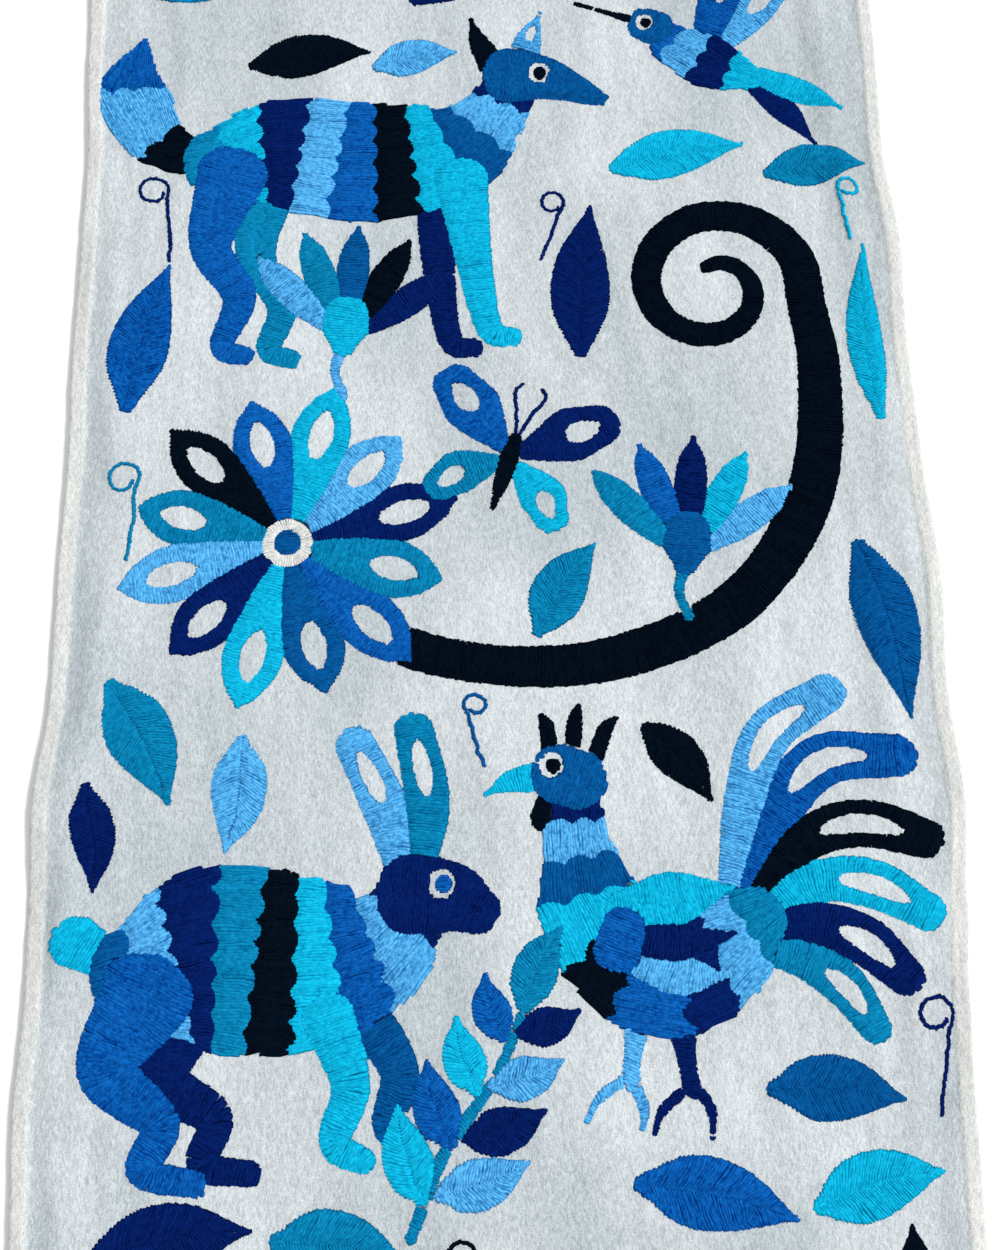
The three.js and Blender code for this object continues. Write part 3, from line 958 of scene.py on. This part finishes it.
def sew_ring(x, y, radius):
    count = int(2 * math.pi * radius * EYE_RING / PITCH)
    angle = np.linspace(0, 2 * math.pi, count, endpoint=False)
    out = np.stack([np.cos(angle), np.sin(angle)], -1)
    centre = np.array([x, y])
    inner, outer = centre + out * radius * EYE_PUPIL * 0.9, centre + out * radius * EYE_RING
    return np.column_stack([inner, outer, np.tile(RING_WIDE, (count, 1))])


def sew_pupil(x, y, radius):
    """Wide enough for a pupil that sits aside; the owner map trims it."""
    v = np.arange(-radius * EYE_PUPIL, radius * EYE_PUPIL + 0.1, PUPIL_PITCH)
    reach = np.full(len(v), radius)
    wide = np.full(len(v), PUPIL_WIDE)
    return np.column_stack([x - reach, y + v, x + reach, y + v, wide, wide])


# %% Keep each stitch only where its part owns the cloth
STEP = 0.4
SHORTEST = 1.1
OVER_EDGE = 0.35
UNDER_NEXT = 0.8


def kept_runs(rows, number):
    """Cuts stitches at other parts' borders, tucks them under those parts and drops crumbs."""
    out = []
    for row in rows:
        a, b, (wa, wb) = row[:2], row[2:4], row[4:]
        long = math.hypot(*(b - a))
        t = np.linspace(-UNDER_NEXT / long, 1 + UNDER_NEXT / long, max(9, int(long / STEP)))
        spots = owners[cell_of(blend(a, b, t[:, None]))]
        mine = (spots == number) & (t >= 0) & (t <= 1)
        tuck = np.where((spots >= 0) & (spots != number), UNDER_NEXT, OVER_EDGE) / long
        flips = np.flatnonzero(np.diff(np.concatenate([[0], mine.astype(int), [0]])))
        for start, end in zip(flips[::2], flips[1::2] - 1):
            if (t[end] - t[start]) * long < SHORTEST:
                continue
            ta, tb = t[start] - tuck[start - 1], t[end] + tuck[end + 1]
            out.append((*blend(a, b, ta), *blend(a, b, tb), blend(wa, wb, ta), blend(wa, wb, tb)))
    return out


BACK_EVERY, BACK_LONG, BACK_WIDE = 6, 5.6, 1.1
MIDDLE_TONE, PART_TONE, STITCH_TONE = 0.5, 0.2, 0.3
sewing = {thread: [] for thread in THREADS + "W"}
backs = {thread: [] for thread in THREADS + "W"}


def back_dashes(run):
    """Behind the cloth the thread only steps along the outline, at both ends of the stitch."""
    ax, ay, bx, by = run[:4]
    half = BACK_LONG / 2 / math.hypot(bx - ax, by - ay)
    px, py = (ay - by) * half, (bx - ax) * half
    return [(x - px, y - py, x + px, y + py, BACK_WIDE, BACK_WIDE, MIDDLE_TONE)
            for x, y in ((ax, ay), (bx, by))]


def sew(thread, rows, number, tone):
    runs = kept_runs(rows, number)
    for run in runs:
        sewing[thread].append((*run, tone + rng.uniform(-STITCH_TONE, STITCH_TONE)))
    for run in runs[::BACK_EVERY]:
        backs[thread] += back_dashes(run)


def part_tone():
    return MIDDLE_TONE + rng.uniform(-PART_TONE, PART_TONE)


SEW = {"leaf": sew_leaf, "line": sew_line, "satin": sew_across, "eyelet": sew_across}
for number, (_, fill, threads, line) in enumerate(PARTS):
    ribbon, tone = RIBBONS[number], part_tone()
    if fill == "bands":
        for thread, rows in sew_bands(ribbon, threads):
            sew(thread, rows, number, part_tone())
    elif fill in ROUND_FILLS:
        sew("W", sew_ring(*line[0]), number, MIDDLE_TONE)
        sew(threads, sew_pupil(*line[0]), number + PUPILS, MIDDLE_TONE)
    else:
        sew(threads, SEW[fill](ribbon), number, tone)
print("stitches by thread:", {thread: len(rows) for thread, rows in sewing.items()})
print("steps on the back:", sum(map(len, backs.values())))

# %% [markdown]
# ## Thread as mesh
# Each stitch dives out of the cloth, runs over it as a soft wavering arch and dives in again.
# Curves with a bevel would do, but thousands of them are slow. So the points of all stitches of
# a colour are worked out together as one array: rings of a few points along each stitch, closed
# at both ends. Fine rings serve the face, and coarse ones the hem and the back. Each stitch also
# gets its own small field of the flat map, so that a bake keeps its fibres.

# %% Stitch mesh
FINE = dict(rings=6, side=np.array([-1.3, -0.5, 0.5, 1.3]), up=np.array([-0.3, 0.95, 0.95, -0.3]))
COARSE = dict(rings=3, side=np.array([-1.2, 0, 1.2]), up=np.array([-0.3, 1, -0.3]))
BEHIND = dict(rings=2, side=-COARSE["side"], up=-COARSE["up"])
THREAD_HIGH, THREAD_HALF = 0.66, 0.6
WAVER, DIVE, LONGEST_DIVE = 0.72, 0.9, 0.28
PLUMP, TALL, UNEVEN = (0.92, 1.16), 0.92, 0.16
END_WIDE, END_HIGH, SHAKE = 0.7, 0.25, 0.13
FIELD_MARGIN = 0.04


def ring_places(rings, long):
    if rings < 4:
        return np.tile(np.linspace(0, 1, rings), (len(long), 1))
    dip = np.minimum(LONGEST_DIVE, DIVE / long)[:, None]
    inner = np.tile(np.linspace(0, 1, rings - 2)[1:-1], (len(long), 1))
    return np.hstack([0 * dip, dip, inner, 1 - dip, 0 * dip + 1])


def stitch_points(rows, kind, high, ground):
    a, b, wa, wb = rows[:, 0:2], rows[:, 2:4], rows[:, 4], rows[:, 5]
    run = b - a
    long = np.hypot(*run.T)
    left = np.stack([-run[:, 1], run[:, 0]], -1) / long[:, None]
    t = ring_places(kind["rings"], long)
    sunk = smooth_step(np.minimum(t, 1 - t) * long[:, None], 0, DIVE)
    middle = a[:, None] + run[:, None] * t[..., None]
    waver = noise(middle[..., 0], middle[..., 1], 3.4, 3.6, 10, 11)
    bow = (WAVER * waver + rng.uniform(-SHAKE, SHAKE, t.shape)) * sunk
    middle = middle + left[:, None] * bow[..., None]
    plump = rng.uniform(*PLUMP, (len(rows), 1))
    half = (wa[:, None] * (1 - t) + wb[:, None] * t) * THREAD_HALF * blend(END_WIDE, 1, sunk) * plump
    tall = high * blend(END_HIGH, 1, sunk) * (TALL + UNEVEN * rng.random(len(rows)))[:, None]
    side = half[..., None] * kind["side"]
    plan = middle[:, :, None] + left[:, None, None] * side[..., None]
    plan[..., 0] += wander(plan[..., 0], plan[..., 1])
    z = ground(middle[..., 0], middle[..., 1])[..., None] + tall[..., None] * kind["up"]
    points = np.concatenate([plan, z[..., None]], -1)
    lay = np.zeros(points.shape)
    lay[..., 0] = (t * long[:, None])[..., None]
    lay[..., 1] = kind["side"]
    return points, lay


def one_stitch(rings, sides):
    """Faces of a single stitch, and the place of each of their corners in its field of the map."""
    faces, corners = [], []
    for i in range(rings - 1):
        for k in range(sides):
            n = (k + 1) % sides
            faces.append([i * sides + k, i * sides + n, (i + 1) * sides + n, (i + 1) * sides + k])
            corners += [(i, k), (i, k + 1), (i + 1, k + 1), (i + 1, k)]
    last = rings - 1
    faces += [list(range(sides)), [last * sides + k for k in reversed(range(sides))]]
    corners += [(0, k) for k in range(sides)] + [(last, k) for k in reversed(range(sides))]
    return faces, np.array(corners) / (last, sides)


def thread_piece(name, *groups):
    """Joins groups of stitches (rows, kind, height, ground) into one piece."""
    grid = math.ceil(math.sqrt(sum(len(rows) for rows, *_ in groups)))
    points, lays, tones, faces, flat = [], [], [], [], []
    first_point, first_field = 0, 0
    for rows, kind, high, ground in groups:
        rows = np.array(rows)
        made, lay = stitch_points(rows, kind, high, ground)
        size = made.shape[1] * made.shape[2]
        shape, corners = one_stitch(*made.shape[1:3])
        for start in range(first_point, first_point + size * len(rows), size):
            faces += [[start + k for k in face] for face in shape]
        fields = first_field + np.arange(len(rows))
        field = np.stack([fields % grid, fields // grid], -1)
        inside = FIELD_MARGIN + (1 - 2 * FIELD_MARGIN) * corners
        flat.append((field[:, None] + inside[None]).reshape(-1, 2) / grid)
        points.append(made.reshape(-1, 3))
        lays.append(lay.reshape(-1, 3))
        tones.append(np.repeat(rows[:, 6], size))
        first_point += size * len(rows)
        first_field += len(rows)
    piece = add_piece(name, np.vstack(points), faces)
    store(piece, "tone", np.concatenate(tones))
    store(piece, "lay", np.vstack(lays), "FLOAT_VECTOR", "vector")
    set_flat_map(piece, np.vstack(flat))
    print(name, first_field, "stitches,", count_triangles(piece), "triangles")
    return piece


def set_flat_map(piece, corners):
    layer = piece.data.uv_layers.new(name="OFBake")
    layer.data.foreach_set("uv", corners.ravel().astype(np.float32))


THREAD_NAMES = {"K": "black", "N": "navy", "R": "royal", "M": "mid_blue", "T": "teal",
                "Q": "turquoise", "L": "light_blue", "W": "white"}
embroidery = {}
for thread, rows in sewing.items():
    embroidery[thread] = thread_piece(
        "stitches_" + THREAD_NAMES[thread],
        (rows, FINE, THREAD_HIGH, face),
        (backs[thread], BEHIND, THREAD_HIGH, underside),
    )

# %% [markdown]
# ## The hem's stitching
# A row of small even stitches holds the turned hem, a little inside its fold. They are made by
# the same thread function, so only the route is new: once round the runner.

# %% Hem stitches
HEM_STITCH, HEM_GAP, HEM_INSET = 2.6, 0.9, 6.3
HEM_WIDE, HEM_HIGH = 0.7, 0.25
SQUARE = np.array([(-1, -1), (1, -1), (1, 1), (-1, 1)])


def hem_rows():
    rows = []
    corners = SQUARE * (WIDTH / 2 - HEM_INSET, LENGTH / 2 - HEM_INSET)
    for a, b in zip(corners, np.roll(corners, -1, axis=0)):
        long = math.hypot(*(b - a))
        for s in np.arange(1, long - HEM_STITCH, HEM_STITCH + HEM_GAP):
            ends = (*blend(a, b, s / long), *blend(a, b, (s + HEM_STITCH) / long))
            rows.append((*ends, HEM_WIDE, HEM_WIDE, MIDDLE_TONE))
    return rows


hem_thread = thread_piece("hem_stitching", (hem_rows(), COARSE, HEM_RISE + HEM_HIGH, face))

# %% [markdown]
# ## Shader maths as Python
# A node graph reads more easily as arithmetic. The small class below wraps an output socket, so
# that `1 - wave * 0.2` adds the Math nodes itself. Everything else comes from one method that
# sets a node's settings first and then its inputs.

# %% Shader kit
class Wire:
    """An output socket that can be used in Python arithmetic."""

    def __init__(self, shader, socket):
        self.shader, self.socket = shader, socket

    def math(self, operation, *values):
        inputs = dict(enumerate(values))
        return self.shader.node("ShaderNodeMath", {"operation": operation}, inputs)

    def __add__(self, other):
        return self.math("ADD", self, other)

    def __sub__(self, other):
        return self.math("SUBTRACT", self, other)

    def __rsub__(self, other):
        return self.math("SUBTRACT", other, self)

    def __mul__(self, other):
        return self.math("MULTIPLY", self, other)

    __radd__, __rmul__ = __add__, __mul__


class Shader:
    """A material with one Principled surface, built up node by node."""

    def __init__(self, name):
        self.material = bpy.data.materials.new(name)
        self.material.use_nodes = True
        self.tree = self.material.node_tree
        self.surface = self.tree.nodes["Principled BSDF"]

    def node(self, kind, settings=None, inputs=None, output=0):
        made = self.tree.nodes.new(kind)
        for key, value in (settings or {}).items():
            setattr(made, key, value)
        for key, value in (inputs or {}).items():
            self.put(made.inputs[key], value)
        return Wire(self, made.outputs[output])

    def put(self, socket, value):
        if isinstance(value, Wire):
            self.tree.links.new(value.socket, socket)
        else:
            socket.default_value = value

    def set(self, **inputs):
        for key, value in inputs.items():
            self.put(self.surface.inputs[key.replace("_", " ")], value)

    def mix(self, factor, a, b):
        return self.node("ShaderNodeMix", {"data_type": "RGBA"}, {0: factor, 6: a, 7: b}, output=2)

    def stored(self, name, output=2):
        """A value that the mesh stores at each point."""
        return self.node("ShaderNodeAttribute", {"attribute_name": name}, output=output)

    def place(self):
        return self.node("ShaderNodeTexCoord", output=3)

    def turned(self, place, degrees):
        inputs = {"Vector": place, "Angle": math.radians(degrees)}
        return self.node("ShaderNodeVectorRotate", {"rotation_type": "Z_AXIS"}, inputs)

    def noise(self, place, scale, detail=1.0, stretch=(1, 1, 1)):
        """Noise over a place that is squeezed by stretch, so that its grain runs one way."""
        squeezed = self.node("ShaderNodeVectorMath", {"operation": "MULTIPLY"}, {0: place, 1: stretch})
        inputs = {"Vector": squeezed, "Scale": scale, "Detail": detail}
        return self.node("ShaderNodeTexNoise", inputs=inputs)

    def bump(self, strength, distance, height):
        inputs = {"Strength": strength, "Distance": distance, "Height": height}
        return self.node("ShaderNodeBump", inputs=inputs)


def linear(red, green, blue):
    """A colour as seen on a screen, 0 to 255, as the light values that Blender uses."""
    decode = lambda v: v / 12.92 if v <= 0.04045 else ((v + 0.055) / 1.055) ** 2.4
    return (*(decode(v / 255) for v in (red, green, blue)), 1.0)


# %% [markdown]
# ## Cotton
# The cloth is an unbleached plain weave. Its yarn is uneven, so thin slubs run along it and,
# fainter, across it. Both come from noise stretched one way, used for colour and for bump. The
# colour also carries painted light: it is mixed between a shaded and a sunlit copy of the cotton,
# by the yarn and by painted shade of the crinkles and of a band beside the hem, and broad patches
# of painted shade darken or lighten it. The hem is two more layers thick, looks creamier and shows
# slanting strain lines. Under dense embroidery the cotton gets a dark painted shade, so a slit
# between two stitches looks dark, not white.

# %% Cotton material
GRAINS = read_table("""
name    turn across along scale detail
warp       0    1    0.35  1200      2
weft       0    0.5  1     1300      2
slubs     22    1    0.25   980      2
slubs    -18    1    0.25   940      2
grain      0    1    1     1700      1
crinkle   10    1    0.2    250      2
crinkle  -12    1    0.2    210      2
strain    34    1    0.14   420      1
patch      0    1    0.5     22      1
region     0    1    0.6      8      1""")
YARN = {"warp": 0.32, "weft": 0.12, "slubs": 0.2, "grain": 0.32}
YARN_MIDDLE, YARN_SHADE, CRINKLE_SHADE, HEM_SHADE_DEPTH, MIDDLE_SHADE = 0.58, 4.2, 0.28, 0.4, 0.52
BROAD_SHADE_CONTRAST, CREAMY, CRINKLE_HIGH, STRAIN_HIGH = 2.6, 0.7, 0.5, 0.8
# Shaded and sunlit copies of the cotton, each as a darker and a lighter patch colour; the colour mixed
# between them is painted light.
SHADED = ((160, 170, 175), (183, 190, 194))
SUNLIT = ((206, 215, 220), (228, 235, 239))
# The hem's creamier colour, also as a shaded and a sunlit copy.
CREAM = ((196, 198, 194), (236, 236, 229))
UNDER_STITCH_SHADE_COLOUR = (14, 30, 58)


def cotton():
    shader = Shader("cotton")
    place = shader.place()
    grains = {}
    for name, turn, across, along, scale, detail in (row.values() for row in GRAINS):
        turned = shader.turned(place, turn) if turn else place
        grain = shader.noise(turned, scale, detail, (across, along, 1))
        grains[name] = grains[name] + grain if name in grains else grain
    hem, painted_hem_shade, under_stitch_shade = map(shader.stored, ("hem", "painted_hem_shade", "under_stitch_shade"))
    yarn = sum(grains[name] * share for name, share in YARN.items())
    # The yarn's own unevenness, plus painted shade of the crinkles, whose relief is also in the bump.
    uneven = (yarn - YARN_MIDDLE) * YARN_SHADE + (grains["crinkle"] - 1) * CRINKLE_SHADE
    # Painted shade beside the hem darkens the cloth's colour.
    yarn_and_shade = uneven + MIDDLE_SHADE - painted_hem_shade * HEM_SHADE_DEPTH
    # Broad patches of painted shade, lighter and darker over several centimetres.
    broad_shade = (grains["patch"] + grains["region"] - 1) * BROAD_SHADE_CONTRAST + 0.5
    between = lambda factor, pair: shader.mix(factor, *(linear(*colour) for colour in pair))
    plain = shader.mix(yarn_and_shade, between(broad_shade, SHADED), between(broad_shade, SUNLIT))
    bare = shader.mix(hem * CREAMY, plain, between(yarn_and_shade, CREAM))
    # Painted shade: the cotton turns dark under dense stitching.
    colour = shader.mix(under_stitch_shade, bare, linear(*UNDER_STITCH_SHADE_COLOUR))
    height = yarn + grains["crinkle"] * CRINKLE_HIGH + hem * grains["strain"] * STRAIN_HIGH
    bump = shader.bump(0.6, 0.9 * MM, height)
    shader.set(Base_Color=colour, Normal=bump, Roughness=0.92, Specular_IOR_Level=0.1)
    return shader.material


cloth.data.materials.append(cotton())
print("cotton has", len(cloth.data.materials[0].node_tree.nodes), "nodes")

# %% [markdown]
# ## Floss
# Floss is several loosely twisted strands. Seen from a step away each stitch is lighter along its
# top, with a dark line between neighbours; the colour paints this in as a painted highlight and
# painted shade. Lighter and darker flecks along each strand are partly the floss's twist and partly
# painted highlight. Each stitch has its own random tone, stored on its points, because thread takes
# dye and light unevenly.

# %% Floss material
FLOSS = {
    "K": (4, 13, 26), "N": (5, 28, 96), "R": (9, 88, 174), "M": (6, 84, 153),
    "T": (8, 129, 180), "Q": (12, 182, 225), "L": (78, 170, 232), "W": (226, 228, 226),
}
CONTRAST = {"K": 0.6, "N": 0.7, "R": 1.1, "M": 0.75, "T": 0.85, "Q": 0.9, "L": 1.5, "W": 1}
DARKER, LIGHTER = (0.63, 1.25), (1.18, 0.9)
TOP_LIGHT_SIDE_SHADE, DASH, FIBRE, TONE, LOWER = 0.34, 1.5, 0.5, 0.3, 0.24
SHIVER, STRAND = 1.8, (0.42, 61, 0.5)


def floss(thread):
    shader = Shader("floss_" + THREAD_NAMES[thread])
    dyed = linear(*FLOSS[thread])[:3]
    # A shaded and a lit copy of the dye; the painted light below chooses between them.
    dark, light = (
        (*(min(1, share * v**power) for v in dyed), 1.0) for share, power in (DARKER, LIGHTER))
    tone, lay, place = shader.stored("tone"), shader.stored("lay", output=1), shader.place()
    along, side = (shader.node("ShaderNodeSeparateXYZ", inputs={0: lay}, output=k) for k in (0, 1))
    across = side + (shader.noise(place, 480) - 0.5) * SHIVER
    strand = {k: value * STRAND[k] for k, value in enumerate((along, tone, across))}
    # Flecks along each strand: partly the floss's own twist, partly painted highlight; they are also
    # in the bump.
    dash = shader.noise(shader.node("ShaderNodeCombineXYZ", inputs=strand), 1)
    fibre = shader.noise(place, 900)
    # Painted highlight along the top of each stitch and painted shade at its sides.
    top_light_side_shade = (1 - across * across) * TOP_LIGHT_SIDE_SHADE
    painted_light_and_tone = top_light_side_shade + (dash - 0.5) * DASH + (fibre - 0.5) * FIBRE + (tone - 0.5) * TONE - LOWER
    colour = shader.mix(painted_light_and_tone * CONTRAST[thread] + 0.5, dark, light)
    bump = shader.bump(0.5, 0.3 * MM, fibre + dash)
    shader.set(Base_Color=colour, Normal=bump, Roughness=0.6, Specular_IOR_Level=0)
    return shader.material


for thread, piece in embroidery.items():
    piece.data.materials.append(floss(thread))
hem_thread.data.materials.append(embroidery["W"].data.materials[0])

# %% [markdown]
# ## Flat map for baking
# An export bakes each material into a picture, which needs a flat map of the piece. The cloth
# lies flat, so a straight view from above is a good map of its face. The plain underside takes
# a narrow strip beside it. The stitches have theirs already.

# %% Flat map of the cloth
MAP_WIDTH, MAP_LENGTH = 440, 1240
FACE_SHARE = 0.84


def values_of(items, name, kind, wide=1):
    values = np.empty(len(items) * wide, kind)
    items.foreach_get(name, values)
    return values.reshape(-1, wide)


def cloth_map(mesh):
    loops = values_of(mesh.loops, "vertex_index", np.int32)[:, 0]
    place = values_of(mesh.vertices, "co", np.float32, 3)[loops] / MM
    u, v = place[:, 0] / MAP_WIDTH + 0.5, place[:, 1] / MAP_LENGTH + 0.5
    down = values_of(mesh.polygons, "normal", np.float32, 3)[:, 2] < -0.5
    down = np.repeat(down, values_of(mesh.polygons, "loop_total", np.int32)[:, 0])
    u = np.where(down, FACE_SHARE + u * (1 - FACE_SHARE), u * FACE_SHARE)
    return np.stack([u, v], 1)


set_flat_map(cloth, cloth_map(cloth.data))
print("corners in the cloth's map:", len(cloth.data.loops))

# %% [markdown]
# ## Floor and light
# The photo shows the runner on pure white in even daylight. A pale floor under a bright sky
# gives that, and one soft sun from the right draws out the threads and wrinkles.

# %% Floor
FLOOR, PALE = 4.0, 0.95
floor_mesh = bpy.data.meshes.new("floor")
floor_mesh.from_pydata([(x, y, 0) for x, y in SQUARE * FLOOR], [], [(0, 1, 2, 3)])
floor = add_object("floor", floor_mesh)
floor_shader = Shader("pale_floor")
floor_shader.set(Base_Color=(PALE, PALE, PALE, 1), Roughness=0.9)
floor.data.materials.append(floor_shader.material)

# %% Light
SKY, SKY_STRENGTH = (0.97, 0.985, 1.0, 1), 0.62
SUN, SUN_STRENGTH, SUN_WIDE = (1.0, 0.975, 0.94), 2.7, 12
SUN_FROM = Vector((0.74, 0.42, 0.66))

world = bpy.data.worlds.new("daylight")
bpy.context.scene.world = world
world.use_nodes = True
sky = world.node_tree.nodes["Background"].inputs
sky["Color"].default_value, sky["Strength"].default_value = SKY, SKY_STRENGTH

sun = add_object("sun", bpy.data.lights.new("sun", "SUN"))
sun.data.energy, sun.data.color = SUN_STRENGTH, SUN
sun.data.angle = math.radians(SUN_WIDE)
aim(sun, SUN_FROM)
bpy.context.scene.view_settings.view_transform = "Standard"

# %% [markdown]
# ## Riding on the body
# Every piece rides on the imported body, and the cloth stands in for the imported solid, which
# is hidden.

# %% Ride and replace
pieces = [cloth, hem_thread, *embroidery.values()]
for piece in pieces:
    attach(piece, "root")
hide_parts("runner")
print("triangles in all:", sum(map(count_triangles, pieces)))
